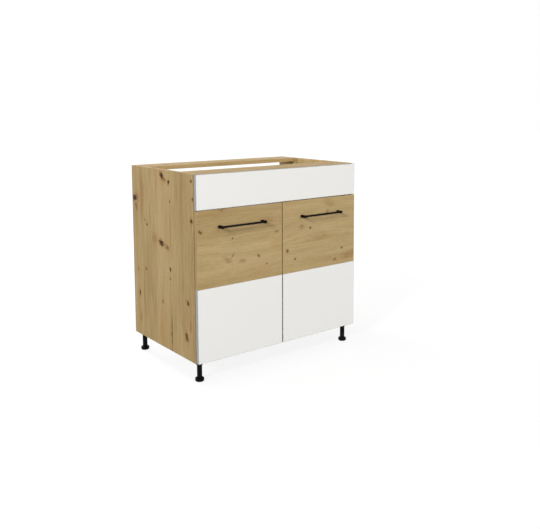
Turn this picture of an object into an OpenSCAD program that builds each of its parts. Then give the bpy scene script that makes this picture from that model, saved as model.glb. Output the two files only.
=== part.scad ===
// Two-door kitchen base cabinet for a sink, open at the top and the back.
// The origin is on the floor, at the middle of the width and of the depth.
// X runs to the right, Y runs from the handles to the open back, Z is up.

/* [Carcass] */
// Width over the two side panels
cab_w = 800; // [600:10:1000]
// Height of the side panels
side_h = 720; // [660:10:760]
// Depth of the side panels
side_d = 502; // [440:1:560]
// Thickness of every carcass board
board_t = 16; // [16:1:19]
// Depth of the two flat rails across the top
rail_d = 120; // [100:5:150]
// Thickness of the band glued on the edges that show
edge_t = 0.8; // [0.4:0.1:1]

/* [Fronts] */
// Thickness of the front boards
front_t = 16; // [16:1:19]
// How far the fronts stay inside the outline of the carcass
front_inset = 2; // [1:0.5:3]
// Gap between the fixed panel and the doors
front_gap = 3; // [2:0.5:4]
// Gap between the two doors
door_gap = 4; // [3:0.5:5]
// Gap between the carcass and the back of the fronts
back_gap = 2; // [2:0.25:2.5]
// Height of the fixed panel across the top
blind_h = 132; // [110:1:160]
// Height of the oak board at the top of each door
oak_h = 296; // [240:1:340]

/* [Handles] */
// Distance between the two posts, and between their screws
post_pitch = 198; // [128:1:224]
// Diameter of the bar
bar_dia = 8; // [7:0.2:9]
// Width and height of a post
post_w = 11; // [10:0.5:14]
// Distance from the door to the front of the handle
handle_out = 26; // [24:1:40]
// Distance from the top of the door down to the bar
handle_drop = 66; // [50:1:90]
// Diameter of the handle screws
handle_screw = 4; // [3:0.5:5]

/* [Hinges] */
// Distance from the ends of a door to the middle of its hinges
hinge_end = 98; // [80:1:130]
// Diameter of the cup
cup_dia = 34.8; // [34.6:0.1:35.2]
// Depth of the cup in the door
cup_depth = 12; // [11.8:0.1:12.4]
// Wood left between the edge of the door and the cup
cup_edge = 4; // [3.8:0.1:4.4]
// Sheet thickness of the cup
cup_wall = 0.8; // [0.6:0.1:0.9]
// Diameter of the hinge pins
pin_dia = 2.4; // [2:0.1:2.6]
// Running clearance round a hinge pin
pin_play = 0.06; // [0.04:0.01:0.1]
// Width of the hinge arm
arm_w = 14; // [14:0.5:17]
// Sheet thickness of the hinge arm
arm_t = 1.5; // [1:0.1:1.8]
// Distance from the front edge of a side to the plate screws
plate_line = 37; // [36:1:40]
// Distance between the two screws of a plate
plate_pitch = 32; // [28:1:36]

/* [Legs] */
// Height of the carcass above the floor, feet screwed right in
leg_h = 80; // [76:1:100]
// How far a foot screws out
foot_travel = 20; // [10:1:24]
// Outer diameter of a leg tube
leg_dia = 20; // [18:1:26]
// Diameter of a foot
foot_dia = 35; // [30:1:46]
// Height of a foot
foot_h = 14; // [12:1:18]
// Distance from the outside of a side panel to the middle of a leg
leg_in_x = 30; // [30:1:90]
// Distance from the front and back edges to the middle of a leg
leg_in_y = 24; // [24:1:90]

/* [Fittings] */
// Diameter of a cam lock
cam_dia = 15; // [12:0.5:15]
// Depth of a cam lock
cam_depth = 12.5; // [11:0.5:13]
// Distance from the end of a board to the middle of a cam lock
cam_in = 34; // [24:1:40]
// Diameter of a wooden dowel
dowel_dia = 8; // [6:1:8]
// Length of a wooden dowel
dowel_len = 30; // [26:1:34]
// Distance from a cam lock to the dowel beside it
dowel_off = 32; // [26:1:40]
// Diameter of the four holes for the screws into a worktop
worktop_hole = 5; // [4:0.5:6]
// Length of each leg of an angle bracket
bracket_leg = 26; // [24:1:34]
// Width of an angle bracket
bracket_w = 30; // [26:1:40]
// Sheet thickness of an angle bracket
bracket_t = 2; // [1.5:0.25:3]

/* [Hidden] */
$fn = 64;
OAK = [0.67, 0.58, 0.42];
WHITE = [0.91, 0.91, 0.89];
STEEL = [0.62, 0.62, 0.63];
BLACK = [0.06, 0.06, 0.065];
BEECH = [0.8, 0.65, 0.45];
CLEAR = [0.85, 0.87, 0.87];

// Planes of the cabinet
total_d = handle_out + front_t + back_gap + side_d;
back_y = total_d / 2;
front_y = back_y - side_d;
door_back_y = front_y - back_gap;
door_face_y = door_back_y - front_t;
side_x = cab_w / 2;
inner_x = side_x - board_t;
base_z = leg_h;
top_z = base_z + side_h;
rail_z = top_z - board_t;
edge_round = edge_t / 2;

// Fronts
fronts_x = side_x - front_inset;
blind_z = top_z - front_inset - blind_h;
door_z = base_z + front_inset;
door_top = blind_z - front_gap;
seam_z = door_top - oak_h;
door_w = fronts_x - door_gap / 2;
door_mid_x = fronts_x - door_w / 2;

// Handles
bar_z = door_top - handle_drop;
post_round = 2;
bar_y = door_face_y - handle_out + post_w / 2;
screw_grip = 11;

// Hinges. A pivot is given as [distance from the edge of the door, distance behind its back].
hinge_z = [door_z + hinge_end, door_top - hinge_end];
cup_u = cup_edge + cup_dia / 2 + 0.1;
cup_r = cup_dia / 2;
cup_flange = 1.1;
flange_t = 1;
wing_w = 16;
cup_screw_u = cup_u + 6;
cup_screw_z = 24;
arm_outer_pin = [23.3, 9];
arm_inner_pin = [29, -5];
cup_outer_pin = [8.6, -3.4];
cup_inner_pin = [12.3, -8.1];
open_eye = cup_inner_pin + [17.38, 4.42];
outer_rise = 6.25;
inner_rise = 2.2;
strap_w = 2.3;
pin_r = pin_dia / 2;
eye_bore = pin_r + pin_play;
eye_wall = 1.1;
eye_r = eye_bore + eye_wall;
open_play = 1.8;
open_bore = pin_r + open_play;
open_r = open_bore + eye_wall;
strap_bite = 0.5;
side_play = 0.3;
cheek_z = arm_w / 2 - arm_t;
outer_link_z = cheek_z - side_play;
outer_strap = 2;
inner_link_z = outer_link_z - outer_strap - 0.6;
nose_v = 14;
arm_top_u = 28.5;
plate_v = plate_line + back_gap;
arm_end_v = plate_v + 23;
panel_u = board_t - front_inset;
arm_foot_u = panel_u + 2.2;
arm_foot_v = nose_v + 3;
plate_t = 1.8;
plate_block = 30;
screw_head = 6.4;
head_h = 1.6;
slot_w = 0.8;
slot_depth = 0.8;
wood_screw = 3;
wood_grip = 9;
euro_screw = 5;
euro_len = 11;
arm_screw = 4;
arm_screw_in = 6;
arm_screw_front = 6;
arm_screw_back = 12;
arm_screw_v = [plate_v - arm_screw_front, plate_v + arm_screw_back];

// Legs
socket_w = 60;
socket_t = 5;
socket_h = 14;
socket_wall = 3;
socket_shift = 8;
rib_t = 2;
rib_in = 2;
spigot_r = leg_dia / 2 - 1;
tube_top = base_z - socket_t;
foot_gap = 0.5;
tube_foot = foot_h + foot_gap;
foot_rim = foot_h * 0.35;
foot_edge = 2;
spindle_dia = 10;
spindle_play = 0.05;
spindle_grip = 29;
spindle_top = tube_foot + foot_travel + spindle_grip;
leg_screw_off = 18;
leg_screw_len = 12;

// Joints of the carcass
bolt_len = 11;
bolt_dia = 5;
bolt_head = 6;
bolt_neck = 4;
bolt_neck_len = 3;
bolt_tip_len = 2;
bolt_bore = 8;
cam_slot = 6.4;
dowel_in = dowel_len * 0.4;
end_fit_y = leg_in_y + socket_shift + socket_w / 2 + cam_dia / 2 + 6;
bottom_fits_y = [front_y + end_fit_y, back_y - end_fit_y];
rail_fits_y = [front_y + rail_d / 2 + dowel_off / 2, back_y - rail_d / 2 - dowel_off / 2];
worktop_x = cab_w / 4;
worktop_y = [front_y + rail_d / 2, back_y - rail_d / 2];
bracket_z = (rail_z + blind_z) / 2 - board_t / 4;
bracket_from_mid = 160;
bracket_screw = 3.5;
bracket_hole = bracket_leg - 9;
bracket_pair = bracket_w / 2 - 7;
buffer_from_mid = 24;
buffer_from_edge = 150;
buffer_x = [buffer_from_mid, door_w - buffer_from_edge];
buffer_dia = 9;
buffer_play = 0.3;
door_dowel_in = 60;
door_dowel_x = [door_dowel_in, door_w / 2, door_w - door_dowel_in];

// Box from its lowest corner to its highest corner
module block(low, high) {
  translate(low) cube(high - low);
}

// Round bar along X, from x = 0
module along_x(r, h) {
  rotate([0, 90, 0]) cylinder(r = r, h = h);
}

// Round bar along Y, from y = 0
module along_y(r, h) {
  rotate([-90, 0, 0]) cylinder(r = r, h = h);
}

// Rectangle with round corners, centred
module round_rect(w, h, r) {
  square([w - 2 * r, h], center = true);
  square([w, h - 2 * r], center = true);
  for (x = [-1, 1], y = [-1, 1])
    translate([x * (w / 2 - r), y * (h / 2 - r)]) circle(r = r);
}

// Puts a child on the left half of the cabinet, or mirrored on the right half
module on_side(left) {
  if (left) children();
  else mirror([1, 0, 0]) children();
}

// Screw that points along +Z from the underside of its head
module screw(dia, length, head_dia = screw_head) {
  cylinder(r = dia / 2, h = length);
  difference() {
    translate([0, 0, -head_h]) cylinder(r = head_dia / 2, h = head_h);
    for (a = [0, 90])
      rotate(a) translate([-head_dia / 3, -slot_w / 2, -head_h - 1])
        cube([head_dia / 1.5, slot_w, 1 + slot_depth]);
  }
}

// Edge band along +Z: its outer face is at x = 0 with both corners rounded, its width runs along Y
module band(width, length) {
  linear_extrude(length) {
    translate([0, edge_round]) square([edge_t, width - 2 * edge_round]);
    translate([edge_round, 0]) square([edge_t - edge_round, width]);
    for (y = [edge_round, width - edge_round]) translate([edge_round, y]) circle(r = edge_round);
  }
}

// Where the boards meet the left side: place along Y, height of the middle of the board, and the
// direction from the cam lock to its dowel
function board_ends() = [
  for (i = [0, 1]) [bottom_fits_y[i], base_z + board_t / 2, 1 - 2 * i],
  for (i = [0, 1]) [rail_fits_y[i], rail_z + board_t / 2, 2 * i - 1]
];

// Puts a child at every bolt, on the inner face of the left side
module bolt_places() {
  for (e = board_ends()) translate([-inner_x, e[0], e[1]]) children();
}

// A dowel beside every bolt; the same shape drills its holes
module end_dowels() {
  for (e = board_ends())
    translate([-inner_x - dowel_in, e[0] + e[2] * dowel_off, e[1]]) along_x(dowel_dia / 2, dowel_len);
}

module side_panel(left) {
  color(OAK) on_side(left) difference() {
    block([-side_x, front_y + edge_t, base_z], [-inner_x, back_y, top_z]);
    bolt_places() translate([-bolt_len, 0, 0]) along_x(bolt_dia / 2, bolt_len + 1);
    end_dowels();
    for (z = hinge_z, s = [-1, 1])
      translate([-inner_x - euro_len, door_back_y + plate_v, z + s * plate_pitch / 2])
        along_x(euro_screw / 2, euro_len + 1);
    for (s = [-1, 1])
      translate([-inner_x - bolt_len, door_back_y + bracket_hole, bracket_z + s * bracket_pair])
        along_x(bracket_screw / 2, bolt_len + 1);
  }
}

// A flat board between the sides, with the holes of both ends and room for its front edge band
module flat_board(y0, y1, z0) {
  difference() {
    block([-inner_x, y0 + edge_t, z0], [inner_x, y1, z0 + board_t]);
    for (left = [true, false]) on_side(left) {
      end_dowels();
      bolt_places() {
        translate([-1, 0, 0]) along_x(bolt_bore / 2, cam_in + 1);
        translate([cam_in, 0, -board_t / 2 - 1]) cylinder(r = cam_dia / 2, h = cam_depth + 1);
      }
    }
    for (i = [0 : $children - 1]) children(i);
  }
}

module bottom_panel() {
  color(OAK) flat_board(front_y, back_y, base_z)
    at_legs() leg_screw_places() translate([0, 0, -1])
      cylinder(r = wood_screw / 2, h = leg_screw_len + 1 - socket_t);
}

module worktop_holes(y) {
  for (x = [-1, 1])
    translate([x * worktop_x, y, rail_z - 1]) cylinder(r = worktop_hole / 2, h = board_t + 2);
}

module front_rail() {
  color(OAK) flat_board(front_y, front_y + rail_d, rail_z) {
    worktop_holes(worktop_y[0]);
    for (x = [-1, 1], s = [-1, 1])
      translate([x * bracket_from_mid + s * bracket_pair, door_back_y + bracket_hole, rail_z - 1])
        cylinder(r = bracket_screw / 2, h = bolt_len + 1);
  }
}

module rear_rail() {
  color(OAK) flat_board(back_y - rail_d, back_y, rail_z) worktop_holes(worktop_y[1]);
}

// Bands on the front edges of both sides, the bottom and the two rails
module carcass_edge_bands() {
  color(OAK) {
    for (left = [true, false])
      on_side(left) translate([-inner_x, front_y, base_z]) rotate(90) band(board_t, side_h);
    for (p = [[front_y, base_z], [front_y, rail_z], [back_y - rail_d, rail_z]])
      translate([-inner_x, p[0], p[1]]) rotate([90, 0, 90]) band(board_t, 2 * inner_x);
  }
}

// Upright band on the left or right edge of a front board
module upright_band(x, z0, z1, right) {
  translate([x, door_face_y, z0]) mirror([right ? 1 : 0, 0, 0]) band(front_t, z1 - z0);
}

// Level band on the top or bottom edge of a front board, between its upright bands
module level_band(x0, x1, z, top) {
  translate([x0 + edge_t, door_face_y, z]) mirror([0, 0, top ? 0 : 1]) rotate([0, 90, 0])
    band(front_t, x1 - x0 - 2 * edge_t);
}

// Fixed panel, with pilot holes for the bracket screws in its back
module blind_panel() {
  color(WHITE) difference() {
    block([-fronts_x + edge_t, door_face_y, blind_z + edge_t],
      [fronts_x - edge_t, door_back_y, blind_z + blind_h - edge_t]);
    bracket_places() bracket_screw_places(1) along_y(bracket_screw / 2, wood_grip + 1);
  }
}

module blind_edge_bands() {
  top = blind_z + blind_h;
  color(WHITE) {
    for (s = [-1, 1]) upright_band(s * fronts_x, blind_z, top, s > 0);
    level_band(-fronts_x, fronts_x, blind_z, false);
    level_band(-fronts_x, fronts_x, top, true);
  }
}

// Steel bolt in a side panel, its head inside the cam lock
module cam_bolts() {
  neck = cam_in - cam_dia / 2 + 1.5;
  color(STEEL) for (left = [true, false])
    on_side(left) bolt_places() {
      translate([-bolt_len, 0, 0]) along_x(bolt_dia / 2, bolt_len);
      along_x(bolt_head / 2, neck);
      translate([neck, 0, 0]) along_x(bolt_neck / 2, bolt_neck_len);
      translate([neck + bolt_neck_len, 0, 0]) along_x(bolt_head / 2, bolt_tip_len);
    }
}

// Cam lock: a disc with a slot for the head of the bolt and a cross on its face
module cam_locks() {
  slot_x = cam_dia / 2 + 3;
  color(STEEL) for (left = [true, false])
    on_side(left) bolt_places() translate([cam_in, 0, -board_t / 2]) difference() {
      cylinder(r = cam_dia / 2, h = cam_depth);
      translate([-cam_dia / 2 - 1, -cam_slot / 2, (board_t - cam_slot) / 2])
        cube([slot_x, cam_slot, cam_depth]);
      for (a = [0, 90])
        rotate(a) translate([-4, -0.6, -1]) cube([8, 1.2, 3]);
    }
}

module carcass_dowels() {
  color(BEECH) for (left = [true, false]) on_side(left) end_dowels();
}

// Angle brackets: two on the side panels and two under the front rail, all against the fixed panel.
// In its own frame a bracket has one leg along +Y under the plane z = 0 and one leg down along -Z
// at the plane y = 0.
module bracket_places() {
  for (s = [-1, 1]) {
    translate([s * inner_x, door_back_y, bracket_z]) rotate([0, s * 90, 0]) children();
    translate([s * bracket_from_mid, door_back_y, rail_z]) children();
  }
}

// Places of the screws in one bracket: leg 0 lies under a board, leg 1 on the fixed panel
module bracket_screw_places(leg) {
  for (x = [-bracket_pair, bracket_pair])
    if (leg == 0) translate([x, bracket_hole, -bracket_t]) children();
    else translate([x, 0, -bracket_hole]) mirror([0, 1, 0]) children();
}

module blind_brackets() {
  color(STEEL) bracket_places() difference() {
    union() {
      block([-bracket_w / 2, 0, -bracket_t], [bracket_w / 2, bracket_leg, 0]);
      block([-bracket_w / 2, 0, -bracket_leg], [bracket_w / 2, bracket_t, 0]);
    }
    bracket_screw_places(0) translate([0, 0, -1]) cylinder(r = bracket_screw / 2, h = bracket_t + 2);
    bracket_screw_places(1) translate([0, -bracket_t - 1, 0]) along_y(bracket_screw / 2, bracket_t + 2);
  }
}

module bracket_screws() {
  color(STEEL) bracket_places() {
    bracket_screw_places(0) screw(bracket_screw, bracket_t + bolt_len - 1);
    bracket_screw_places(1) translate([0, -bracket_t, 0]) rotate([-90, 0, 0])
      screw(bracket_screw, bracket_t + wood_grip);
  }
}

// Clear buffers on the front edge of the bottom panel, where the doors come to rest
module door_buffers() {
  color(CLEAR) for (s = [-1, 1], x = buffer_x)
    translate([s * x, door_back_y + buffer_play, base_z + board_t / 2])
      along_y(buffer_dia / 2, back_gap - buffer_play);
}

// Puts a child at every hinge of one door. Its X runs from the edge of the door into its width,
// its Y runs from the back of the door into the cabinet.
module hinge_places(left) {
  for (z = hinge_z)
    on_side(left) translate([-fronts_x, door_back_y, z]) children();
}

// Shape in the plane of the hinge, made solid from z0 to z1 and again below the middle
module both_cheeks(z0, z1) {
  for (s = [0, 1])
    mirror([0, 0, s]) translate([0, 0, z0]) linear_extrude(z1 - z0) children();
}

// Arc strap from point p to point q, bowed by rise towards the floor of the cup
module strap(p, q, rise) {
  chord = norm(q - p);
  radius = (chord * chord / 4 + rise * rise) / (2 * rise);
  bow = [(q - p)[1], -(q - p)[0]] / chord;
  centre = (p + q) / 2 + bow * (rise - radius);
  intersection() {
    translate(centre) difference() {
      circle(r = radius + strap_w / 2);
      circle(r = radius - strap_w / 2);
    }
    polygon([centre, centre + (p - centre) * 3, centre + bow * radius * 4, centre + (q - centre) * 3]);
  }
}

module eye(p, r, bore) {
  translate(p) difference() {
    circle(r = r);
    circle(r = bore);
  }
}

// Outer link: two curved straps joined by the sleeve on the arm's outer pin
module outer_link() {
  both_cheeks(outer_link_z - outer_strap, outer_link_z) {
    difference() {
      strap(cup_outer_pin, arm_outer_pin, outer_rise);
      translate(cup_outer_pin) circle(r = eye_r - strap_bite);
      translate(arm_outer_pin) circle(r = eye_r - strap_bite);
    }
    eye(cup_outer_pin, eye_r, eye_bore);
  }
  translate([0, 0, -outer_link_z]) linear_extrude(2 * outer_link_z) eye(arm_outer_pin, eye_r, eye_bore);
}

// Inner link: one curved bar between the straps of the outer link. Its eye at the arm is wide,
// so that the opened pivot never touches its pin.
module inner_link() {
  translate([0, 0, -inner_link_z]) linear_extrude(2 * inner_link_z) {
    difference() {
      strap(cup_inner_pin, open_eye, inner_rise);
      translate(cup_inner_pin) circle(r = eye_r - strap_bite);
      translate(open_eye) circle(r = open_r - strap_bite);
    }
    eye(cup_inner_pin, eye_r, eye_bore);
    eye(open_eye, open_r, open_bore);
  }
}

// Side view of the arm: the nose holds both pins, the straight part lies over the plate
module arm_outline() {
  a = arm_outer_pin;
  b = arm_inner_pin;
  polygon([
    a + [-3.6, 0.2], a + [-3.1, -4], b + [-3.1, 0.8], b + [2.9, -1.4], b + [3.4, 0.5],
    [arm_top_u, nose_v], [arm_top_u, arm_end_v], [arm_foot_u, arm_end_v], [arm_foot_u, arm_foot_v]
  ]);
  translate(a) circle(r = 3.6);
  translate(b) circle(r = 3.4);
}

module hinge_arm() {
  difference() {
    union() {
      both_cheeks(cheek_z, arm_w / 2) arm_outline();
      block([arm_top_u - arm_t, nose_v, -arm_w / 2], [arm_top_u, arm_end_v, arm_w / 2]);
      for (p = [arm_outer_pin, arm_inner_pin])
        translate([p[0], p[1], -arm_w / 2]) cylinder(r = pin_r, h = arm_w);
    }
    for (v = arm_screw_v)
      translate([arm_top_u - arm_t - 1, v, 0]) along_x(arm_screw / 2, arm_t + 2);
  }
}

// Plate on the side panel: a block inside the arm and two wings with the screws
module hinge_plate() {
  wing = plate_pitch / 2 + wing_w / 2 - 2;
  difference() {
    union() {
      block([panel_u, plate_v - plate_block / 2, -cheek_z + side_play],
        [arm_top_u - arm_t, plate_v + plate_block / 2 + 4, cheek_z - side_play]);
      block([panel_u, plate_v - 6, -wing], [panel_u + plate_t, plate_v + 6, wing]);
    }
    for (s = [-1, 1])
      translate([panel_u - 1, plate_v, s * plate_pitch / 2]) along_x(euro_screw / 2, plate_t + 2);
    for (v = arm_screw_v)
      translate([arm_top_u - arm_t - arm_screw_in, v, 0]) along_x(arm_screw / 2, arm_screw_in + 1);
  }
}

// Pressed cup with its flange; the pins of both links are riveted into its wall
module hinge_cup() {
  inner_r = cup_r - cup_wall;
  difference() {
    union() {
      translate([cup_u, -cup_depth, 0]) along_y(cup_r, cup_depth);
      translate([cup_u, 0, 0]) along_y(cup_r + cup_flange, flange_t);
      for (s = [-1, 1])
        translate([cup_screw_u, 0, s * cup_screw_z]) along_y(wing_w / 2, flange_t);
      block([cup_screw_u - wing_w / 2, 0, -cup_screw_z],
        [cup_screw_u + wing_w / 2, flange_t, cup_screw_z]);
    }
    translate([cup_u, cup_wall - cup_depth, 0]) along_y(inner_r, cup_depth + 2);
    block([0, -1.5, -arm_w / 2 - 2], [cup_edge + 3.5, flange_t + 1, arm_w / 2 + 2]);
    for (s = [-1, 1])
      translate([cup_screw_u, -1, s * cup_screw_z]) along_y(wood_screw / 2, flange_t + 2);
  }
  chord_outer = sqrt(pow(cup_r - 0.3, 2) - pow(cup_outer_pin[0] - cup_u, 2));
  chord_inner = sqrt(pow(cup_r - 0.3, 2) - pow(cup_inner_pin[0] - cup_u, 2));
  stub = inner_link_z + 0.4;
  for (s = [0, 1])
    mirror([0, 0, s]) translate([cup_outer_pin[0], cup_outer_pin[1], stub])
      cylinder(r = pin_r, h = chord_outer - stub);
  translate([cup_inner_pin[0], cup_inner_pin[1], -chord_inner])
    cylinder(r = pin_r, h = 2 * chord_inner);
}

module hinge_arms(left) {
  color(STEEL) hinge_places(left) hinge_arm();
}

module hinge_plates(left) {
  color(STEEL) hinge_places(left) hinge_plate();
}

module outer_links(left) {
  color(STEEL) hinge_places(left) outer_link();
}

module inner_links(left) {
  color(STEEL) hinge_places(left) inner_link();
}

module hinge_cups(left) {
  color(STEEL) hinge_places(left) hinge_cup();
}

module plate_screws() {
  color(STEEL) for (left = [true, false], s = [-1, 1])
    hinge_places(left) translate([panel_u + plate_t, plate_v, s * plate_pitch / 2])
      rotate([0, -90, 0]) screw(euro_screw, plate_t + euro_len, 7);
}

module arm_screws() {
  color(STEEL) for (left = [true, false], v = arm_screw_v)
    hinge_places(left) translate([arm_top_u, v, 0]) rotate([0, -90, 0])
      screw(arm_screw, arm_t + arm_screw_in);
}

module cup_screws(left) {
  color(STEEL) hinge_places(left) for (s = [-1, 1])
    translate([cup_screw_u, flange_t, s * cup_screw_z]) rotate([90, 0, 0])
      screw(wood_screw, flange_t + wood_grip);
}

// The dowels across the seam of a door; the same shape drills their holes
module seam_dowels(left) {
  on_side(left) for (x = door_dowel_x)
    translate([-fronts_x + x, (door_face_y + door_back_y) / 2, seam_z - dowel_len / 2])
      cylinder(r = dowel_dia / 2, h = dowel_len);
}

// Everything that is drilled into a door
module door_holes(left) {
  hinge_places(left) {
    translate([cup_u, -cup_depth - 0.2, 0]) along_y(cup_r + 0.1, cup_depth + 1);
    for (s = [-1, 1])
      translate([cup_screw_u, -wood_grip, s * cup_screw_z]) along_y(wood_screw / 2, wood_grip + 1);
  }
  seam_dowels(left);
  post_places(left) translate([0, -1, 0]) along_y(handle_screw / 2, front_t + 2);
}

// Board of a door without its edge bands, from z0 to z1
module door_board(left, z0, z1) {
  difference() {
    on_side(left)
      block([-fronts_x + edge_t, door_face_y, z0], [-fronts_x + door_w - edge_t, door_back_y, z1]);
    door_holes(left);
  }
}

module door_oak(left) {
  color(OAK) door_board(left, seam_z + edge_t, door_top - edge_t);
}

module door_white(left) {
  color(WHITE) door_board(left, door_z + edge_t, seam_z - edge_t);
}

// Bands on all four edges of one board of a door, from z0 to z1; the dowels pass through at the seam
module door_bands(left, z0, z1) {
  difference() {
    on_side(left) {
      upright_band(-fronts_x, z0, z1, false);
      upright_band(-fronts_x + door_w, z0, z1, true);
      level_band(-fronts_x, -fronts_x + door_w, z0, false);
      level_band(-fronts_x, -fronts_x + door_w, z1, true);
    }
    seam_dowels(left);
  }
}

module oak_edge_bands(left) {
  color(OAK) door_bands(left, seam_z, door_top);
}

module white_edge_bands(left) {
  color(WHITE) door_bands(left, door_z, seam_z);
}

module door_dowels(left) {
  color(BEECH) seam_dowels(left);
}

// Puts a child at both screws of a handle, on the face of the door
module post_places(left) {
  on_side(left) for (s = [-1, 1])
    translate([-door_mid_x + s * post_pitch / 2, door_face_y, bar_z]) children();
}

// Round bar that ends inside both posts
module handle_bar(left) {
  color(BLACK) on_side(left) translate([-door_mid_x - post_pitch / 2, bar_y, bar_z])
    along_x(bar_dia / 2, post_pitch);
}

// Square posts with round corners, also at the front
module handle_posts(left) {
  depth = 2 * handle_out;
  color(BLACK) difference() {
    post_places(left) intersection() {
      rotate([90, 0, 0]) linear_extrude(handle_out) round_rect(post_w, post_w, post_round);
      translate([-post_w / 2, 0, 0]) rotate([90, 0, 90]) linear_extrude(post_w)
        round_rect(depth, post_w, post_round);
    }
    handle_bar(left);
    post_places(left) translate([0, -screw_grip, 0]) along_y(handle_screw / 2, screw_grip + 1);
  }
}

module handle_screws(left) {
  color(STEEL) post_places(left) translate([0, front_t, 0]) rotate([90, 0, 0])
    screw(handle_screw, front_t + screw_grip - 1, 8);
}

// The four legs, as [side, end]: front left, front right, rear left, rear right
function leg_signs() = [for (end = [-1, 1], side = [-1, 1]) [side, end]];

// Puts a child at leg i on the floor. The child's X and Y run outwards to the corner.
module at_leg(i) {
  side = leg_signs()[i][0];
  end = leg_signs()[i][1];
  middle_y = (front_y + back_y) / 2 + end * (side_d / 2 - leg_in_y);
  translate([side * (side_x - leg_in_x), middle_y, 0])
    mirror([side < 0 ? 1 : 0, 0, 0]) mirror([0, end < 0 ? 1 : 0, 0]) children();
}

// Puts a child at every leg, under the bottom panel
module at_legs() {
  for (i = [0 : 3]) at_leg(i) translate([0, 0, base_z]) children();
}

// Three of the plate's corners; the one at the corner of the cabinet is too near its edge
module leg_screw_places() {
  for (p = [[-1, -1], [-1, 1], [1, -1]])
    translate([p[0] * leg_screw_off - socket_shift, p[1] * leg_screw_off - socket_shift, 0]) children();
}

// Sockets with a square plate under the bottom panel and, nearer its corner, a collar for the tube
module leg_sockets() {
  rib_len = socket_w / 2 - socket_shift - leg_dia / 2 - 2 * rib_in;
  color(BLACK) at_legs() difference() {
    union() {
      translate([-socket_shift, -socket_shift, -socket_t]) linear_extrude(socket_t)
        round_rect(socket_w, socket_w, 6);
      translate([0, 0, -socket_h]) cylinder(r = leg_dia / 2 + socket_wall, h = socket_h);
      for (a = [0 : 90 : 270])
        rotate(a) translate([leg_dia / 2 + rib_in, -rib_t / 2, 0]) rotate([-90, 0, 0])
          linear_extrude(rib_t) polygon([[0, 0], [rib_len, 0], [0, socket_h - rib_in]]);
    }
    translate([0, 0, -socket_h - 1]) cylinder(r = spigot_r, h = socket_h + 1 - socket_t);
    leg_screw_places() translate([0, 0, -socket_t - 1]) cylinder(r = wood_screw / 2, h = socket_t + 2);
  }
}

module leg_screws() {
  color(STEEL) at_legs() leg_screw_places() translate([0, 0, -socket_t])
    screw(wood_screw, leg_screw_len);
}

// Leg tube with the bore that the spindle turns in, and a spigot that sits in the socket
module leg_tube(i) {
  color(BLACK) at_leg(i) difference() {
    union() {
      translate([0, 0, tube_foot]) cylinder(r = leg_dia / 2, h = base_z - socket_h - tube_foot);
      translate([0, 0, tube_foot]) cylinder(r = spigot_r, h = tube_top - tube_foot);
    }
    translate([0, 0, tube_foot - 1])
      cylinder(r = spindle_dia / 2 + spindle_play, h = tube_top - tube_foot);
  }
}

// Foot: a disc, well rounded underneath, on the spindle
module foot(i) {
  color(BLACK) at_leg(i) {
    rotate_extrude() {
      polygon([
        [0, 0], [foot_dia / 2 - foot_rim, 0], [foot_dia / 2 - foot_rim, foot_rim],
        [foot_dia / 2, foot_rim], [foot_dia / 2, foot_h - foot_edge],
        [foot_dia / 2 - foot_edge, foot_h], [0, foot_h]
      ]);
      translate([foot_dia / 2 - foot_rim, foot_rim]) intersection() {
        circle(r = foot_rim);
        translate([0, -foot_rim]) square(foot_rim);
      }
    }
    translate([0, 0, foot_h - 1]) cylinder(r = spindle_dia / 2, h = spindle_top - foot_h + 1);
  }
}

side_panel(true);  // left_side
side_panel(false);  // right_side
bottom_panel();
front_rail();
rear_rail();
carcass_edge_bands();
blind_panel();
blind_edge_bands();
cam_bolts();
cam_locks();
carcass_dowels();
blind_brackets();
bracket_screws();
door_buffers();
hinge_arms(true);  // left_hinge_arms
hinge_arms(false);  // right_hinge_arms
hinge_plates(true);  // left_hinge_plates
hinge_plates(false);  // right_hinge_plates
plate_screws();
arm_screws();
outer_links(true);  // left_outer_links
outer_links(false);  // right_outer_links
inner_links(true);  // left_inner_links
inner_links(false);  // right_inner_links
hinge_cups(true);  // left_hinge_cups
hinge_cups(false);  // right_hinge_cups
cup_screws(true);  // left_cup_screws
cup_screws(false);  // right_cup_screws
door_oak(true);  // left_door_oak
door_oak(false);  // right_door_oak
door_white(true);  // left_door_white
door_white(false);  // right_door_white
oak_edge_bands(true);  // left_oak_edge_bands
oak_edge_bands(false);  // right_oak_edge_bands
white_edge_bands(true);  // left_white_edge_bands
white_edge_bands(false);  // right_white_edge_bands
door_dowels(true);  // left_door_dowels
door_dowels(false);  // right_door_dowels
handle_bar(true);  // left_handle_bar
handle_bar(false);  // right_handle_bar
handle_posts(true);  // left_handle_posts
handle_posts(false);  // right_handle_posts
handle_screws(true);  // left_handle_screws
handle_screws(false);  // right_handle_screws
leg_sockets();
leg_screws();
leg_tube(0);  // front_left_leg_tube
leg_tube(1);  // front_right_leg_tube
leg_tube(2);  // rear_left_leg_tube
leg_tube(3);  // rear_right_leg_tube
foot(0);  // front_left_foot
foot(1);  // front_right_foot
foot(2);  // rear_left_foot
foot(3);  // rear_right_foot
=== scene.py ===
# Sink base cabinet with oak and white fronts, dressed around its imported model.
# Sizes are metres: X runs to the right, Y from the handles to the open back, Z up from the floor.
import math

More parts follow.
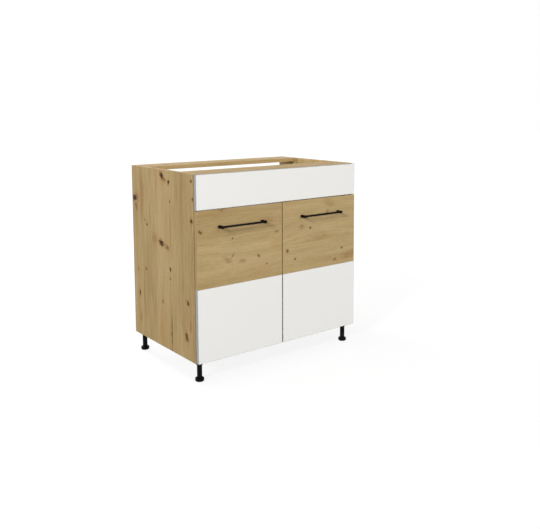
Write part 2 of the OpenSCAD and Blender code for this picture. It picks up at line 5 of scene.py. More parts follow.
import bpy
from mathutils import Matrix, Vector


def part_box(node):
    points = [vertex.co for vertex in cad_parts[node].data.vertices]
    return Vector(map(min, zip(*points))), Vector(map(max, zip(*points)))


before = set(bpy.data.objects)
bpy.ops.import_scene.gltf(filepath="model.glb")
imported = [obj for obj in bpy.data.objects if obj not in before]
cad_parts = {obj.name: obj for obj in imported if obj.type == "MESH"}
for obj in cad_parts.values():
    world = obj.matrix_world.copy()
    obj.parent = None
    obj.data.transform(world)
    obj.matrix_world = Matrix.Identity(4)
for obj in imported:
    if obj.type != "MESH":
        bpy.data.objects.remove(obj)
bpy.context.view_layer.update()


# Side panels
# Two upright boards of 16 mm chipboard between printed melamine faces that show knotty oak, the
# grain running up. Their front edges are banded; the top, foot and back edges are left sawn.

def swatch(red, green, blue):
    """A colour as the eye sees it, 0 to 255 each, in the form that shaders take."""
    return tuple(((part / 255 + 0.055) / 1.055) ** 2.4 for part in (red, green, blue)) + (1.0,)


def place(tree, kind, inputs, **settings):
    """Puts one node in a tree and returns its outputs; an input is a value or another output."""
    made = tree.nodes.new("ShaderNode" + kind)
    for name, value in settings.items():
        setattr(made, name, value)
    for socket, value in inputs.items():
        if isinstance(value, bpy.types.NodeSocket):
            tree.links.new(value, made.inputs[socket])
        else:
            made.inputs[socket].default_value = value
    return made.outputs


def maths(tree, operation, first, second=0.0):
    """One sum, such as ADD or MULTIPLY, of two numbers or outputs."""
    return place(tree, "Math", {0: first, 1: second}, operation=operation)[0]


def fade(tree, value, start, end, at_start=0.0, at_end=1.0):
    """Goes smoothly from one value to another while the input goes from start to end."""
    return place(tree, "MapRange", {"Value": value, "From Min": start, "From Max": end,
                                    "To Min": at_start, "To Max": at_end},
                 interpolation_type="SMOOTHSTEP")[0]


def cloud(tree, vector, stretch, detail=2.0, roughness=0.5):
    """Noise with so many lumps a metre along each axis."""
    lumps = place(tree, "VectorMath", {0: vector, 1: stretch}, operation="MULTIPLY")[0]
    return place(tree, "TexNoise", {"Vector": lumps, "Scale": 1.0, "Detail": detail,
                                    "Roughness": roughness})[0]


def shade(tree, factor, first, second):
    """Mixes two colours."""
    return place(tree, "Mix", {0: factor, 6: first, 7: second}, data_type="RGBA")[2]


def ladder(tree, factor, rungs):
    """Colour ramp; rungs are pairs of a place from 0 to 1 and a colour."""
    made = tree.nodes.new("ShaderNodeValToRGB")
    stops = made.color_ramp.elements
    stops.new(0.5)
    for stop, (spot, colour) in zip(stops, rungs):
        stop.position = spot
        stop.color = colour
    tree.links.new(factor, made.inputs[0])
    return made.outputs[0]


def start_group(name, inputs, outputs):
    """Opens a node group; inputs and outputs map each socket's name to Float, Color or Vector."""
    group = bpy.data.node_groups.new(name, "ShaderNodeTree")
    for label, kind in inputs.items():
        group.interface.new_socket(name=label, in_out="INPUT", socket_type="NodeSocket" + kind)
    for label, kind in outputs.items():
        group.interface.new_socket(name=label, in_out="OUTPUT", socket_type="NodeSocket" + kind)
    given = group.nodes.new("NodeGroupInput").outputs
    return group, given, group.nodes.new("NodeGroupOutput").inputs


def use_group(tree, group, inputs):
    """Puts a group in a material's tree and returns its outputs."""
    return place(tree, "Group", inputs, node_tree=group)


def start_finish(name):
    """Opens a material and returns it with its tree and its shader."""
    material = bpy.data.materials.new(name)
    material.use_nodes = True
    return material, material.node_tree, material.node_tree.nodes["Principled BSDF"]


def close_finish(tree, shader, color, roughness, height, relief, distance):
    """Joins colour, roughness and relief to the shader."""
    tree.links.new(color, shader.inputs["Base Color"])
    tree.links.new(roughness, shader.inputs["Roughness"])
    bump = place(tree, "Bump", {"Height": height, "Strength": relief, "Distance": distance})[0]
    tree.links.new(bump, shader.inputs["Normal"])


def dress(node, material):
    """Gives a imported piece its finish."""
    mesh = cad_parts[node].data
    mesh.materials.clear()
    mesh.materials.append(material)


# One knot: a cracked dark core with a ragged rim, a brown halo, and the push it gives to the grain.
# A board passes its marks through one of these after the other, so that each adds to the last
knot, given, result = start_group(
    "oak knot",
    {"Across": "Float", "Along": "Float", "Ragged": "Float", "Knot Across": "Float",
     "Knot Along": "Float", "Size": "Float", "Length": "Float", "Lean": "Float",
     "Darkness": "Float", "Core": "Float", "Halo": "Float", "Push": "Float"},
    {"Core": "Float", "Halo": "Float", "Push": "Float"})
away = maths(knot, "SUBTRACT", given["Along"], given["Knot Along"])
away = maths(knot, "DIVIDE", away, given["Size"])
aside = maths(knot, "SUBTRACT", given["Across"], given["Knot Across"])
aside = maths(knot, "DIVIDE", aside, given["Size"])
aside = maths(knot, "ADD", aside, maths(knot, "MULTIPLY", away, given["Lean"]))
away = maths(knot, "DIVIDE", away, given["Length"])


def reach(across_share, along_share):
    """Distance from the knot's middle, in its own sizes, with each direction shrunk."""
    flat = place(knot, "CombineXYZ", {"X": maths(knot, "MULTIPLY", aside, across_share),
                                      "Y": maths(knot, "MULTIPLY", away, along_share)})[0]
    return place(knot, "VectorMath", {0: flat}, operation="LENGTH")["Value"]


core = fade(knot, maths(knot, "ADD", reach(1.0, 1.0), given["Ragged"]), 1.15, 0.8)
core = maths(knot, "MULTIPLY", core, given["Darkness"])
rim = maths(knot, "MULTIPLY", given["Ragged"], 0.5)
halo = fade(knot, maths(knot, "ADD", reach(0.55, 0.4), rim), 1.0, 0.2)
halo_share = maths(knot, "ADD", maths(knot, "MULTIPLY", given["Darkness"], 0.45), 0.35)
halo = maths(knot, "MULTIPLY", halo, halo_share)
near = maths(knot, "MULTIPLY", fade(knot, reach(0.3, 0.2), 1.0, 0.0), aside)
pushed = maths(knot, "MULTIPLY", near, maths(knot, "MULTIPLY", given["Size"], 0.45))
knot.links.new(maths(knot, "MAXIMUM", given["Core"], core), result["Core"])
knot.links.new(maths(knot, "MAXIMUM", given["Halo"], halo), result["Halo"])
knot.links.new(maths(knot, "ADD", given["Push"], pushed), result["Push"])

# The printed oak: bands, streaks, year lines, fibre and pores, all drawn out along the grain;
# Tone is how light the board is, 0.5 as a rule, and Figure how strongly its pattern stands out
BOARD_SPACING = 3.7         # how far apart in the print two boards are cut
YEAR_LINES = 520.0          # radians a metre across the grain
PATTERN = [                 # lumps a metre across, deep and along, detail, share of the tone
    ((9, 9, 0.8), 2, 0.30), ((45, 45, 3), 3, 0.30), ((190, 190, 9), 3, 0.26), ((900, 900, 30), 2, 0.14)]
decor, given, result = start_group(
    "oak decor",
    {"Across": "Float", "Depth": "Float", "Along": "Float", "Board": "Float", "Wave": "Float",
     "Tone": "Float", "Figure": "Float", "Core": "Float", "Halo": "Float", "Push": "Float"},
    {"Color": "Color", "Gloss": "Float", "Height": "Float"})
own_place = maths(decor, "MULTIPLY", given["Board"], BOARD_SPACING)
spot = place(decor, "CombineXYZ", {"X": maths(decor, "ADD", given["Across"], own_place),
                                   "Y": given["Depth"],
                                   "Z": maths(decor, "ADD", given["Along"], own_place)})[0]
drift = maths(decor, "SUBTRACT", cloud(decor, spot, (5, 5, 1.6), 1), 0.5)
drift = maths(decor, "MULTIPLY", drift, given["Wave"])
drift = place(decor, "CombineXYZ", {"X": maths(decor, "SUBTRACT", drift, given["Push"])})[0]
wavy = place(decor, "VectorMath", {0: spot, 1: drift}, operation="ADD")[0]
year = place(decor, "SeparateXYZ", {0: wavy})[0]
year = maths(decor, "SINE", maths(decor, "MULTIPLY", year, YEAR_LINES))
year = maths(decor, "MULTIPLY", year, fade(decor, cloud(decor, wavy, (9, 9, 1.2), 1), 0.4, 0.7))
tone = maths(decor, "MULTIPLY", year, -0.025)
for stretch, detail, share in PATTERN:
    fibre = maths(decor, "SUBTRACT", cloud(decor, wavy, stretch, detail), 0.5)
    tone = maths(decor, "ADD", maths(decor, "MULTIPLY", fibre, share), tone)
tone = maths(decor, "ADD", maths(decor, "MULTIPLY", tone, given["Figure"]), given["Tone"])
oak = ladder(decor, tone, [(0.36, swatch(144, 117, 75)), (0.50, swatch(173, 148, 103)),
                           (0.64, swatch(196, 172, 127))])
warm = fade(decor, cloud(decor, wavy, (8, 8, 3.5), 2), 0.53, 0.75, 0.0, 0.4)
oak = shade(decor, warm, oak, swatch(174, 135, 85))
pores = fade(decor, cloud(decor, wavy, (1500, 1500, 60), 1), 0.58, 0.72)
oak = shade(decor, maths(decor, "MULTIPLY", pores, 0.3), oak, swatch(98, 72, 40))
fray = fade(decor, cloud(decor, wavy, (330, 330, 14), 2), 0.3, 0.6, 0.35, 0.85)
oak = shade(decor, maths(decor, "MULTIPLY", given["Halo"], fray), oak, swatch(146, 90, 38))
oak = shade(decor, given["Core"], oak, swatch(64, 37, 8))
decor.links.new(oak, result["Color"])
gloss = maths(decor, "ADD", maths(decor, "ADD", fibre, 0.5), pores)
decor.links.new(maths(decor, "MULTIPLY", gloss, 0.5), result["Gloss"])
sunk = maths(decor, "ADD", maths(decor, "MULTIPLY", pores, 0.6),
             maths(decor, "MULTIPLY", given["Core"], 0.5))
decor.links.new(maths(decor, "SUBTRACT", fibre, sunk), result["Height"])

# Sawn chipboard: pale and brown chips pressed flat, with open pores between them
CHIPS = 620.0               # chips a metre
chipboard, given, result = start_group("sawn chipboard", {"Position": "Vector"},
                                       {"Color": "Color", "Height": "Float"})
chips = place(chipboard, "TexVoronoi", {"Vector": given["Position"], "Scale": CHIPS})
chip_tone = place(chipboard, "SeparateColor", {0: chips["Color"]})[0]
sawn = ladder(chipboard, chip_tone, [(0.1, swatch(128, 97, 62)), (0.5, swatch(184, 152, 108)),
                                     (0.9, swatch(214, 190, 150))])
gaps = fade(chipboard, cloud(chipboard, given["Position"], (380, 380, 380), 3), 0.58, 0.7)
chipboard.links.new(shade(chipboard, maths(chipboard, "MULTIPLY", gaps, 0.6), sawn, swatch(86, 62, 38)),
                    result["Color"])
chipboard.links.new(maths(chipboard, "SUBTRACT", chip_tone, gaps), result["Height"])

# Edges of a board, for a little wear and for painted highlight and painted shade along them: strongest
# where two faces of a board meet, and broken up along the edge
edge_light_group, given, result = start_group(
    "board edges for wear and painted light", {"Position": "Vector", "Middle": "Vector", "Half Size": "Vector", "Width": "Float"},
    {"Mask": "Float"})
inward = place(edge_light_group, "VectorMath", {0: given["Position"], 1: given["Middle"]}, operation="SUBTRACT")[0]
inward = place(edge_light_group, "VectorMath", {0: inward}, operation="ABSOLUTE")[0]
inward = place(edge_light_group, "VectorMath", {0: given["Half Size"], 1: inward}, operation="SUBTRACT")[0]
depths = place(edge_light_group, "SeparateXYZ", {0: inward})
lower = maths(edge_light_group, "MINIMUM", depths["X"], depths["Y"])
upper = maths(edge_light_group, "MAXIMUM", depths["X"], depths["Y"])
to_edge = maths(edge_light_group, "MAXIMUM", lower, maths(edge_light_group, "MINIMUM", upper, depths["Z"]))
to_edge = maths(edge_light_group, "DIVIDE", to_edge, given["Width"])
broken = cloud(edge_light_group, given["Position"], (60, 60, 60), 4, 0.65)
edge_light_group.links.new(maths(edge_light_group, "MULTIPLY", fade(edge_light_group, to_edge, 1.0, 0.0), fade(edge_light_group, broken, 0.4, 0.65)),
              result["Mask"])

# Faint smears and dust that dull the shine in patches
smears, given, result = start_group("smears", {"Position": "Vector"}, {"Mask": "Float"})
patches = cloud(smears, given["Position"], (9, 9, 9), 4, 0.6)
smears.links.new(fade(smears, patches, 0.4, 0.68), result["Mask"])


EDGE_LIGHT_WIDTH = 0.004


def painted_edge_light(tree, where, node):
    """Mask of a board's edges, where wear, painted highlight and painted shade go."""
    low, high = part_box(node)
    return use_group(tree, edge_light_group, {
        "Position": where["Object"], "Middle": [(a + b) / 2 for a, b in zip(low, high)],
        "Half Size": [(b - a) / 2 for a, b in zip(low, high)], "Width": EDGE_LIGHT_WIDTH})["Mask"]


def oak_board(node, across, depth, along, board, wave, tone, figure, knots):
    """Oak melamine with its grain along one axis; the edges between its faces are sawn chipboard."""
    material, tree, shader = start_finish(node.replace("_", " "))
    shader.inputs["Specular IOR Level"].default_value = 0.05
    where = place(tree, "TexCoord", {})
    axes = place(tree, "SeparateXYZ", {0: where["Object"]})
    lumps = maths(tree, "SUBTRACT", cloud(tree, where["Object"], (110, 110, 110), 4, 0.65), 0.5)
    cracks = maths(tree, "SUBTRACT", cloud(tree, where["Object"], (150, 150, 150), 4, 0.7), 0.5)
    ragged = maths(tree, "MULTIPLY", maths(tree, "ADD", lumps, maths(tree, "ABSOLUTE", cracks)), 2.6)
    marks = {"Core": 0.0, "Halo": 0.0, "Push": 0.0}
    for at_across, at_along, size, length, lean, darkness in knots:
        made = use_group(tree, knot, {
            "Across": axes[across], "Along": axes[along], "Ragged": ragged,
            "Knot Across": at_across, "Knot Along": at_along, "Size": size, "Length": length,
            "Lean": lean, "Darkness": darkness, **marks})
        marks = {mark: made[mark] for mark in marks}
    printed = use_group(tree, decor, {
        "Across": axes[across], "Depth": axes[depth], "Along": axes[along], "Board": board,
        "Wave": wave, "Tone": tone, "Figure": figure, **marks})
    facing = place(tree, "SeparateXYZ", {0: where["Normal"]})[depth]
    edge = fade(tree, maths(tree, "ABSOLUTE", facing), 0.8, 0.6)
    raw = use_group(tree, chipboard, {"Position": where["Object"]})
    color = shade(tree, edge, printed["Color"], raw["Color"])
    # The edges are lighter: a little wear, and a painted highlight along them.
    edge_mask = painted_edge_light(tree, where, node)
    color = shade(tree, maths(tree, "MULTIPLY", edge_mask, 0.35), color, swatch(196, 176, 136))
    height = place(tree, "Mix", {0: edge, 2: printed["Height"], 3: raw["Height"]})[0]
    dull = use_group(tree, smears, {"Position": where["Object"]})["Mask"]
    roughness = maths(tree, "ADD", maths(tree, "MULTIPLY", printed["Gloss"], 0.16),
                      maths(tree, "MULTIPLY", maths(tree, "ADD", dull, edge_mask), 0.08))
    close_finish(tree, shader, color, maths(tree, "ADD", roughness, 0.42), height, 0.35, 0.0002)
    dress(node, material)


# Knots: place across and along the grain, half width, length over width, lean and darkness.
# On a side that is along Y and Z. On the left side they are where the photograph shows them.
LEFT_SIDE_KNOTS = [
    (0.012, 0.776, 0.015, 1.0, -0.5, 1.0), (-0.012, 0.762, 0.008, 1.1, -0.6, 0.5),
    (-0.043, 0.754, 0.009, 0.9, 0.3, 0.95), (0.250, 0.666, 0.021, 0.65, 0.3, 1.0),
    (0.238, 0.632, 0.012, 1.5, -0.3, 0.35), (0.222, 0.668, 0.010, 1.8, 0.0, 0.15),
    (-0.216, 0.773, 0.006, 1.0, 0.0, 0.9), (-0.225, 0.706, 0.006, 1.2, 0.0, 1.0),
    (0.145, 0.565, 0.007, 0.7, -0.3, 0.9), (0.165, 0.582, 0.012, 0.5, -0.4, 0.12),
    (-0.214, 0.623, 0.010, 0.8, 0.0, 0.9), (0.022, 0.506, 0.022, 0.55, -0.5, 1.0),
    (-0.024, 0.494, 0.015, 0.6, -0.3, 0.45), (0.082, 0.516, 0.020, 0.9, 0.0, 0.12),
    (-0.051, 0.679, 0.005, 1.2, 0.0, 0.8), (-0.048, 0.410, 0.007, 1.4, 0.0, 0.9),
    (-0.047, 0.375, 0.005, 1.1, 0.0, 0.7), (0.159, 0.376, 0.006, 1.0, 0.0, 0.7),
    (0.231, 0.363, 0.005, 1.2, 0.0, 0.5), (0.220, 0.262, 0.007, 1.9, -0.1, 0.9),
    (-0.179, 0.304, 0.010, 1.0, -0.2, 0.8), (0.021, 0.267, 0.007, 1.2, 0.0, 0.3),
    (-0.166, 0.168, 0.013, 1.5, -0.2, 0.75), (-0.196, 0.215, 0.005, 5.0, 0.0, 0.25),
    (-0.051, 0.150, 0.0035, 24.0, 0.0, 0.6), (-0.046, 0.150, 0.006, 1.3, 0.0, 0.3),
    (-0.050, 0.560, 0.004, 16.0, 0.0, 0.15), (0.215, 0.160, 0.007, 2.6, 0.2, 0.15),
    (0.190, 0.700, 0.018, 3.0, 0.0, 0.05), (-0.150, 0.200, 0.018, 3.0, 0.0, 0.05)]
RIGHT_SIDE_KNOTS = [
    (0.140, 0.690, 0.012, 1.5, 0.6, 1.0), (-0.120, 0.610, 0.008, 1.2, -0.2, 0.9),
    (0.060, 0.540, 0.007, 1.2, 0.0, 0.8), (-0.190, 0.450, 0.012, 1.3, 1.2, 1.0),
    (0.205, 0.400, 0.007, 1.3, 0.0, 0.9), (-0.030, 0.300, 0.010, 1.5, -0.3, 0.9),
    (0.110, 0.205, 0.006, 1.3, 0.0, 0.7), (-0.150, 0.160, 0.009, 1.8, 0.2, 0.9),
    (-0.205, 0.740, 0.006, 1.1, 0.0, 0.9), (0.030, 0.735, 0.005, 1.2, 0.0, 0.7)]
oak_board("left_side", "Y", "X", "Z", 0, 0.03, 0.5, 0.95, LEFT_SIDE_KNOTS)
oak_board("right_side", "Y", "X", "Z", 1, 0.03, 0.5, 0.95, RIGHT_SIDE_KNOTS)


# Bottom panel and rails
# Three level boards of the same material, the grain running from side to side. The rails lie flat
# under the worktop; nothing stands between them, so that a sink bowl can hang through the top.

# Here a knot's place is along Y and X
BOTTOM_KNOTS = [
    (0.06, -0.21, 0.011, 1.6, 0.5, 1.0), (-0.11, 0.05, 0.008, 1.3, 0.0, 0.8),
    (0.17, 0.26, 0.010, 1.5, -0.5, 0.9), (-0.16, -0.30, 0.005, 1.2, 0.0, 0.8)]
REAR_RAIL_KNOTS = [(0.22, -0.27, 0.008, 1.4, 0.3, 0.9), (0.19, 0.11, 0.006, 1.5, 0.0, 0.8)]
oak_board("bottom_panel", "Y", "Z", "X", 2, 0.05, 0.5, 0.7, BOTTOM_KNOTS)
oak_board("front_rail", "Y", "Z", "X", 3, 0.05, 0.5, 0.7, ())
oak_board("rear_rail", "Y", "Z", "X", 4, 0.05, 0.5, 0.7, REAR_RAIL_KNOTS)


# Edge bands of the carcass
# Strips of 0.8 mm plastic with the same oak print, glued on every front edge and rounded over.
# On the sides their grain runs up, and on the bottom and the rails it runs from side to side.

def oak_band(name, board, upright):
    """Oak band; upright gives, for a tree and its coordinates, 1 where the strip stands up."""
    material, tree, shader = start_finish(name)
    shader.inputs["Specular IOR Level"].default_value = 0.05
    where = place(tree, "TexCoord", {})
    axes = place(tree, "SeparateXYZ", {0: where["Object"]})
    stands = upright(tree, where, axes)
    along = place(tree, "Mix", {0: stands, 2: axes["X"], 3: axes["Z"]})[0]
    across = place(tree, "Mix", {0: stands, 2: axes["Z"], 3: axes["X"]})[0]
    figure = use_group(tree, decor, {"Across": across, "Depth": axes["Y"], "Along": along,
                                     "Board": board, "Wave": 0.03, "Tone": 0.5, "Figure": 0.6})
    roughness = maths(tree, "ADD", maths(tree, "MULTIPLY", figure["Gloss"], 0.15), 0.38)
    close_finish(tree, shader, figure["Color"], roughness, figure["Height"], 0.2, 0.0002)
    return material


def on_a_side(tree, where, axes):
    """1 within the thickness of a side panel."""
    inner_face = -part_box("left_side")[1][0]
    return maths(tree, "GREATER_THAN", maths(tree, "ABSOLUTE", axes["X"]), inner_face)


dress("carcass_edge_bands", oak_band("oak, carcass bands", 5, on_a_side))


# Bolts, cam locks and dowels of the carcass
# Zinc-plated steel bolts screwed into the sides, held in the level boards by turned locks of
# die-cast zinc, with a fluted beech dowel beside each.

# Grain of worked metal: fine lines one way and a mottled plating
metal_grain, given, result = start_group(
    "metal grain", {"Position": "Vector", "Line Pitch": "Float"},
    {"Tone": "Float", "Roughness": "Float", "Height": "Float"})
lines = place(metal_grain, "VectorMath", {0: given["Position"], "Scale": given["Line Pitch"]},
              operation="SCALE")[0]
brushed = cloud(metal_grain, lines, (1.0, 1.0, 0.06), 2)
mottled = cloud(metal_grain, given["Position"], (160, 160, 160), 3)
both = maths(metal_grain, "ADD", brushed, mottled)
metal_grain.links.new(maths(metal_grain, "MULTIPLY", both, 0.5), result["Tone"])
metal_grain.links.new(fade(metal_grain, mottled, 0.3, 0.7), result["Roughness"])
metal_grain.links.new(brushed, result["Height"])

# Wear on hard edges, on black coat also a painted highlight: strongest where a fine rounding turns away
# from the face, and broken up
edge_wear_and_highlight, given, result = start_group("edge wear and highlight", {"Position": "Vector", "Radius": "Float"},
                                       {"Mask": "Float"})
eased = place(edge_wear_and_highlight, "Bevel", {"Radius": given["Radius"]}, samples=16)[0]
face = place(edge_wear_and_highlight, "NewGeometry", {})["Normal"]
turned = place(edge_wear_and_highlight, "VectorMath", {0: eased, 1: face}, operation="DOT_PRODUCT")["Value"]
broken = cloud(edge_wear_and_highlight, given["Position"], (90, 90, 90), 3, 0.6)
edge_wear_and_highlight.links.new(maths(edge_wear_and_highlight, "MULTIPLY", fade(edge_wear_and_highlight, turned, 0.97, 0.8),
                          fade(edge_wear_and_highlight, broken, 0.35, 0.6)), result["Mask"])


METAL_WEAR = 0.0005


def metal(name, dark, light, smooth, rough, line_pitch, relief):
    """Plated or cast metal between two colours and two roughnesses."""
    material, tree, shader = start_finish(name)
    shader.inputs["Metallic"].default_value = 1.0
    where = place(tree, "TexCoord", {})
    grain = use_group(tree, metal_grain, {"Position": where["Object"], "Line Pitch": line_pitch})
    color = shade(tree, grain["Tone"], dark, light)
    edge_mask = use_group(tree, edge_wear_and_highlight, {"Position": where["Object"], "Radius": METAL_WEAR})["Mask"]
    color = shade(tree, maths(tree, "MULTIPLY", edge_mask, 0.5), color, swatch(228, 228, 228))
    roughness = place(tree, "Mix", {0: grain["Roughness"], 2: smooth, 3: rough})[0]
    roughness = maths(tree, "SUBTRACT", roughness, maths(tree, "MULTIPLY", edge_mask, 0.08))
    close_finish(tree, shader, color, roughness, grain["Height"], relief, 0.0001)
    return material


zinc = metal("zinc plate", swatch(150, 152, 156), swatch(205, 207, 212), 0.28, 0.42, 2500, 0.15)
casting = metal("zinc casting", swatch(128, 130, 134), swatch(176, 178, 181), 0.42, 0.6, 900, 0.4)
dress("cam_bolts", zinc)
dress("cam_locks", casting)


def beech(name):
    """Turned beech: pale pink-brown with fine darker and lighter flecks."""
    material, tree, shader = start_finish(name)
    where = place(tree, "TexCoord", {})
    fibre = cloud(tree, where["Object"], (900, 900, 900), 3)
    color = ladder(tree, fibre, [(0.3, swatch(176, 138, 98)), (0.5, swatch(209, 174, 132)),
                                 (0.7, swatch(225, 196, 156))])
    close_finish(tree, shader, color, fade(tree, fibre, 0.3, 0.7, 0.6, 0.75), fibre, 0.3, 0.0002)
    return material


dowel_wood = beech("beech")
dress("carcass_dowels", dowel_wood)


# Fixed panel and its brackets
# A white laminated board across the top of the front, in the place of a drawer. Four steel angle
# brackets behind it are screwed to the sides and the front rail; its edges are banded in grey.

def white_board(node):
    """Matt white laminate: almost even, with a fine pressed grain, and a painted shade darkening all its
    edges.
    """
    material, tree, shader = start_finish(node.replace("_", " "))
    shader.inputs["Specular IOR Level"].default_value = 0.3
    where = place(tree, "TexCoord", {})
    pressed = cloud(tree, where["Object"], (1100, 1100, 1100), 2)
    broad = cloud(tree, where["Object"], (3.5, 3.5, 3.5), 2)
    color = shade(tree, broad, swatch(236, 235, 231), swatch(238, 237, 233))
    # Painted shade: every edge is darkened a little, standing in for the shade in the gaps between the
    # boards.
    edge_mask = painted_edge_light(tree, where, node)
    color = shade(tree, maths(tree, "MULTIPLY", edge_mask, 0.25), color, swatch(205, 203, 197))
    dull = use_group(tree, smears, {"Position": where["Object"]})["Mask"]
    roughness = maths(tree, "ADD", maths(tree, "MULTIPLY", maths(tree, "ADD", dull, edge_mask), 0.1), 0.44)
    close_finish(tree, shader, color, roughness, pressed, 0.12, 0.0001)
    dress(node, material)


def grey_band(name):
    """Light grey plastic strip, planed and scraped, with faint marks of the scraper."""
    material, tree, shader = start_finish(name)
    where = place(tree, "TexCoord", {})
    scraped = cloud(tree, where["Object"], (1200, 1200, 12), 2)
    color = shade(tree, scraped, swatch(148, 148, 149), swatch(160, 160, 161))
    close_finish(tree, shader, color, fade(tree, scraped, 0.3, 0.7, 0.36, 0.48), scraped, 0.2, 0.0001)
    return material


white_board("blind_panel")
grey_strip = grey_band("grey edge band")
dress("blind_edge_bands", grey_strip)
dress("blind_brackets", zinc)
dress("bracket_screws", zinc)


# Hinges
# Concealed cup hinges of pressed and nickel-plated steel, two a door. The plate is screwed to the
# side, the arm to the plate, and two links carry the cup that is pressed into the door.

nickel = metal("nickel plate", swatch(162, 160, 155), swatch(214, 212, 206), 0.2, 0.34, 1800, 0.1)
for side in ("left", "right"):
    for part in ("hinge_plates", "hinge_arms", "outer_links", "inner_links", "hinge_cups"):
        dress(f"{side}_{part}", nickel)
    dress(f"{side}_cup_screws", zinc)
dress("plate_screws", zinc)
dress("arm_screws", zinc)


# Doors
# Each door is an oak-look board above a white one, joined by three dowels across the seam. The
# grain of the oak runs from side to side. Both boards are banded before they are joined.

# Here a knot's place is along Z and X
LEFT_DOOR_KNOTS = [
    (0.584, -0.383, 0.007, 1.1, 0.4, 0.6), (0.545, -0.240, 0.003, 1.2, 0.0, 0.8),
    (0.461, -0.119, 0.006, 1.0, 0.2, 0.55), (0.462, -0.262, 0.011, 1.4, 0.5, 0.12),
    (0.478, -0.240, 0.004, 1.4, -1.0, 0.5), (0.424, -0.079, 0.004, 1.2, 0.0, 0.5),
    (0.659, -0.289, 0.006, 1.5, 0.0, 0.25), (0.548, -0.027, 0.005, 1.6, 0.0, 0.3),
    (0.452, -0.195, 0.008, 1.6, 0.0, 0.12), (0.600, -0.080, 0.014, 2.0, 0.0, 0.04)]
RIGHT_DOOR_KNOTS = [
    (0.543, 0.147, 0.006, 1.0, 0.0, 0.6), (0.552, 0.102, 0.010, 1.4, 0.0, 0.15),
    (0.460, 0.026, 0.007, 1.0, 0.0, 0.6), (0.437, 0.326, 0.006, 1.0, 0.2, 0.55),
    (0.422, 0.064, 0.005, 1.1, 0.0, 0.45), (0.391, 0.284, 0.007, 1.4, 0.0, 0.3),
    (0.402, 0.372, 0.018, 2.6, -0.2, 0.10), (0.602, 0.241, 0.010, 0.7, 0.0, 0.20),
    (0.640, 0.250, 0.016, 1.5, 0.3, 0.06), (0.500, 0.200, 0.016, 2.4, 0.0, 0.03)]
oak_board("left_door_oak", "Z", "Y", "X", 6, 0.11, 0.53, 0.6, LEFT_DOOR_KNOTS)
oak_board("right_door_oak", "Z", "Y", "X", 7, 0.11, 0.56, 0.6, RIGHT_DOOR_KNOTS)


def on_an_upright_edge(tree, where, axes):
    """1 where the strip faces left or right."""
    sideways = place(tree, "SeparateXYZ", {0: where["Normal"]})["X"]
    return maths(tree, "GREATER_THAN", maths(tree, "ABSOLUTE", sideways), 0.5)


for board, side in enumerate(("left", "right"), 8):
    white_board(f"{side}_door_white")
    dress(f"{side}_oak_edge_bands", oak_band(f"oak, {side} door bands", board, on_an_upright_edge))
    dress(f"{side}_white_edge_bands", grey_strip)
    dress(f"{side}_door_dowels", dowel_wood)


# Door buffers
# Four clear self-adhesive dots on the front edge of the bottom, where the doors come to rest.

def soft_clear(name):
    """Clear soft plastic, slightly clouded."""
    material, tree, shader = start_finish(name)
    shader.inputs["Transmission Weight"].default_value = 0.7
    where = place(tree, "TexCoord", {})
    clouded = cloud(tree, where["Object"], (500, 500, 500), 2)
    color = shade(tree, clouded, swatch(222, 226, 226), swatch(238, 240, 240))
    close_finish(tree, shader, color, fade(tree, clouded, 0.3, 0.7, 0.2, 0.35), clouded, 0.1, 0.0002)
    return material


dress("door_buffers", soft_clear("clear buffer"))


# Handles
# A round steel bar through two square posts, all powder-coated matt black. Each post is held by a
# screw from behind the door.

BLACK_EDGE_HIGHLIGHT = 0.0008


def black_coat(name, dark, light, smooth, rough, grain, relief):
    """Black powder coat or moulded plastic, with its grain in lumps a metre."""
    material, tree, shader = start_finish(name)
    shader.inputs["Specular IOR Level"].default_value = 0.06
    where = place(tree, "TexCoord", {})
    fine = cloud(tree, where["Object"], (grain, grain, grain), 2)
    dull = use_group(tree, smears, {"Position": where["Object"]})["Mask"]
    color = shade(tree, maths(tree, "MULTIPLY", maths(tree, "ADD", fine, dull), 0.5), dark, light)
    # Lighter edges: a little wear, and a painted highlight along them.
    edge_mask = use_group(tree, edge_wear_and_highlight, {"Position": where["Object"], "Radius": BLACK_EDGE_HIGHLIGHT})["Mask"]
    color = shade(tree, maths(tree, "MULTIPLY", edge_mask, 0.4), color, swatch(74, 73, 70))
    roughness = place(tree, "Mix", {0: maths(tree, "MAXIMUM", dull, edge_mask), 2: smooth, 3: rough})[0]
    close_finish(tree, shader, color, roughness, fine, relief, 0.0002)
    return material


powder_coat = black_coat("black powder coat", swatch(3, 2, 2), swatch(12, 11, 10), 0.30, 0.40, 1600, 0.25)
for side in ("left", "right"):
    dress(f"{side}_handle_bar", powder_coat)
    dress(f"{side}_handle_posts", powder_coat)
    dress(f"{side}_handle_screws", zinc)


# Legs
# Black moulded plastic. A socket is screwed under each corner, a tube is pushed into it, and the
# foot is screwed into the tube so that it can be set 20 mm longer.

leg_plastic = black_coat("black leg plastic", swatch(5, 8, 7), swatch(19, 23, 21), 0.28, 0.42, 700, 0.2)
dress("leg_sockets", leg_plastic)
dress("leg_screws", zinc)
for corner in ("front_left", "front_right", "rear_left", "rear_right"):
    dress(f"{corner}_leg_tube", leg_plastic)
    dress(f"{corner}_foot", leg_plastic)


# Floor
# A plain white sheet, far wider than the view, that keeps a faint shadow of the cabinet.

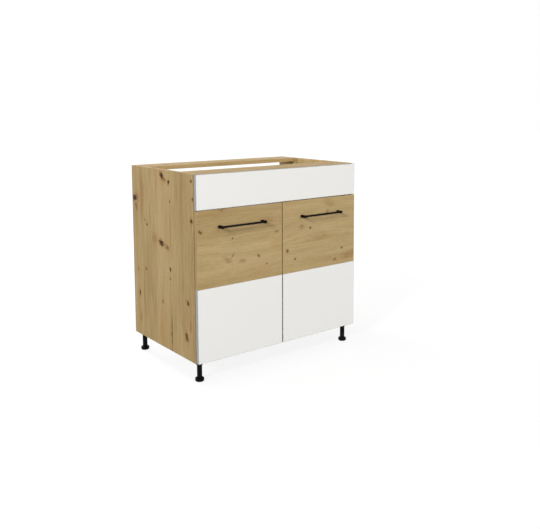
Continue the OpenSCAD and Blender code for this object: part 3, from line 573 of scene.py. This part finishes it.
FLOOR_WIDTH = 40.0
DARK_PAPER = (0.12, 0.12, 0.12, 1.0)
LIGHT_PAPER = (0.14, 0.14, 0.14, 1.0)
NEAR_GLOW, FAR_GLOW = 0.875, 1.0
bpy.ops.mesh.primitive_plane_add(size=FLOOR_WIDTH)
floor = bpy.context.object
floor.name = "floor"
paper, tree, shader = start_finish("white paper")
shader.inputs["Roughness"].default_value = 0.9
shader.inputs["Specular IOR Level"].default_value = 0.0
shader.inputs["Emission Color"].default_value = (1.0, 1.0, 1.0, 1.0)
fibres = cloud(tree, place(tree, "TexCoord", {})["Object"], (60, 60, 60), 3)
tree.links.new(shade(tree, fibres, DARK_PAPER, LIGHT_PAPER), shader.inputs["Base Color"])
rays = place(tree, "LightPath", {})
direct = maths(tree, "MAXIMUM", rays["Is Camera Ray"],
               maths(tree, "MAXIMUM", rays["Is Glossy Ray"], rays["Is Transmission Ray"]))
# The sheet is white to the eye, and a little less so near the cabinet, where its shadow lies
from_middle = place(tree, "VectorMath", {0: place(tree, "TexCoord", {})["Object"]},
                    operation="LENGTH")["Value"]
glow = fade(tree, from_middle, 1.0, 3.5, NEAR_GLOW, FAR_GLOW)
tree.links.new(maths(tree, "MULTIPLY", direct, glow), shader.inputs["Emission Strength"])
# Seen from below, the sheet lets the underside of the cabinet show
from_below = maths(tree, "MULTIPLY", place(tree, "NewGeometry", {})["Backfacing"], rays["Is Camera Ray"])
tree.links.new(maths(tree, "SUBTRACT", 1.0, from_below), shader.inputs["Alpha"])
floor.data.materials.append(paper)


# Light
# A large lamp in front of the cabinet, a key lamp on the left that draws the handles' shadows to
# the lower right, one over the open top, one behind the open back, and a little light from the
# pale room all round.

world = bpy.data.worlds.new("pale room")
world.use_nodes = True
bpy.context.scene.world = world
tree = world.node_tree
rays = place(tree, "LightPath", {})
direct = maths(tree, "MAXIMUM", rays["Is Camera Ray"],
               maths(tree, "MAXIMUM", rays["Is Glossy Ray"], rays["Is Transmission Ray"]))
ROOM_LIGHT = 0.32
strength = place(tree, "Mix", {0: direct, 2: ROOM_LIGHT, 3: 1.0})[0]
tree.links.new(strength, tree.nodes["Background"].inputs["Strength"])
tree.nodes["Background"].inputs["Color"].default_value = (1.0, 1.0, 1.0, 1.0)


def lamp(name, spot, aim, size, share):
    """Square lamp that lights a surface square to it, at the aim, by that share of white."""
    data = bpy.data.lights.new(name, "AREA")
    data.energy = share * math.pi ** 2 * math.dist(spot, aim) ** 2
    data.size = size
    made = bpy.data.objects.new(name, data)
    made.location = spot
    toward = made.location.__class__(aim) - made.location
    made.rotation_mode = "QUATERNION"
    made.rotation_quaternion = toward.to_track_quat("-Z", "Y")
    bpy.context.scene.collection.objects.link(made)


lamp("front lamp", (3.0, -14.0, 3.4), (0.0, -0.25, 0.5), 7.0, 0.52)
lamp("key lamp", (-12.5, -5.6, 6.75), (0.0, -0.25, 0.5), 2.5, 0.73)
lamp("top lamp", (-1.5, 1.5, 6.0), (0.0, 0.0, 0.8), 2.6, 0.32)
lamp("back lamp", (-0.4, 3.0, 1.3), (0.2, 0.2, 0.6), 0.8, 0.85)


# Camera
# The photograph's place: to the front left and a little above the top, with the frame moved down
# and left of the lens's axis, as the picture is framed.

camera_data = bpy.data.cameras.new("camera")
camera_data.lens = 46.41
camera_data.sensor_width = 36.0
camera_data.shift_x = -0.0556
camera_data.shift_y = -0.1528
camera = bpy.data.objects.new("camera", camera_data)
camera.location = (-1.6942, -2.4423, 1.0511)
camera.rotation_euler = (math.radians(90 - 6.3), 0.0, math.radians(-39.13))
bpy.context.scene.collection.objects.link(camera)
bpy.context.scene.camera = camera
bpy.context.scene.view_settings.view_transform = "Standard"
